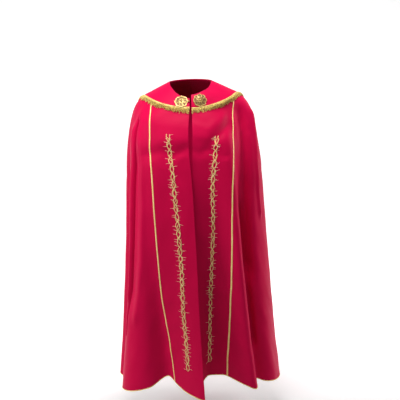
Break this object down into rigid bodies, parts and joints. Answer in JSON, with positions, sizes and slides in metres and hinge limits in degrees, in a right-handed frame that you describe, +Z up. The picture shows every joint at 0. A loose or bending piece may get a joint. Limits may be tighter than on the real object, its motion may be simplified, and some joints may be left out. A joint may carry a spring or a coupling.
{
  "type": "cope vestment",
  "caption": "Ankle-length cope, worn and hollow, open down the front, with a fringed shoulder cape, gold-braided bands with a thorn vine, and a rosette clasp.",
  "frame": {"origin": "the middle of the wearer's shoulders, at the base of the neck, which holds the cope up", "axes": "+Z up, -Y the way the wearer faces, +X the wearer's left"},
  "size_m": [0.7543, 0.5215, 1.3853],
  "materials": {
    "cloth": "satin",
    "band_cloth": "satin",
    "gold_thread": "metallic thread",
    "gold_embroidery": "satin stitch",
    "gold_metal": "polished filigree"
  },
  "bodies": {
    "root": {"mantle_right": "cloth", "mantle_left": "cloth", "front_band_right": "band_cloth", "front_band_left": "band_cloth", "shoulder_cape": "cloth", "fringe": "gold_thread", "band_braid_right": "gold_thread", "band_braid_left": "gold_thread", "hem_piping": "gold_thread", "thorn_vine_right": "gold_embroidery", "thorn_vine_left": "gold_embroidery", "clasp_rosette_right": "gold_metal", "clasp_rosette_left": "gold_metal", "clasp_hook": "gold_metal"}
  },
  "joints": []
}
